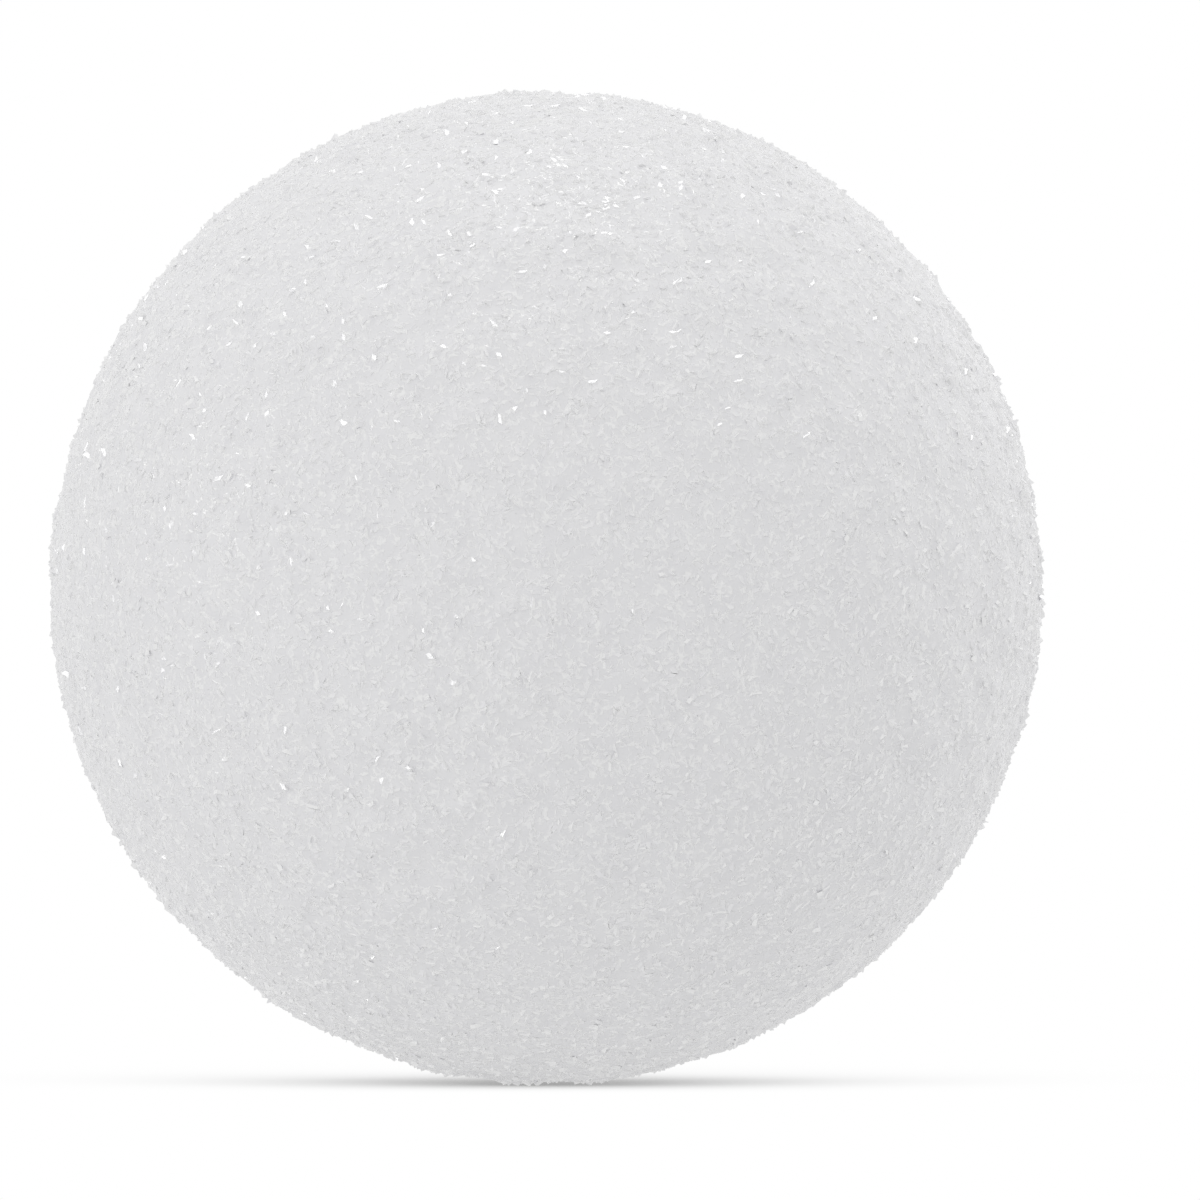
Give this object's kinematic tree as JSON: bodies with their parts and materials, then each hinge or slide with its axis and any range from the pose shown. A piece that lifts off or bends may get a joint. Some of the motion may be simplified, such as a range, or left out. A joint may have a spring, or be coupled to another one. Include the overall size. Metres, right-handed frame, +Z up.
{
  "type": "polystyrene ball",
  "caption": "Small white polystyrene foam craft ball with a coarse torn-cell grain all over, for models, ornaments and painting.",
  "frame": {"origin": "centre of the ball", "axes": "+Z up through the point where a pick goes in, -Z down to the point that the ball stands on, +X to the viewer's right in the picture"},
  "size_m": [0.033, 0.033, 0.033],
  "materials": {
    "white_foam": "white closed-cell foam, matt, with a sparkle from the torn cell walls"
  },
  "bodies": {
    "root": {"foam_ball": "white_foam"}
  },
  "joints": []
}
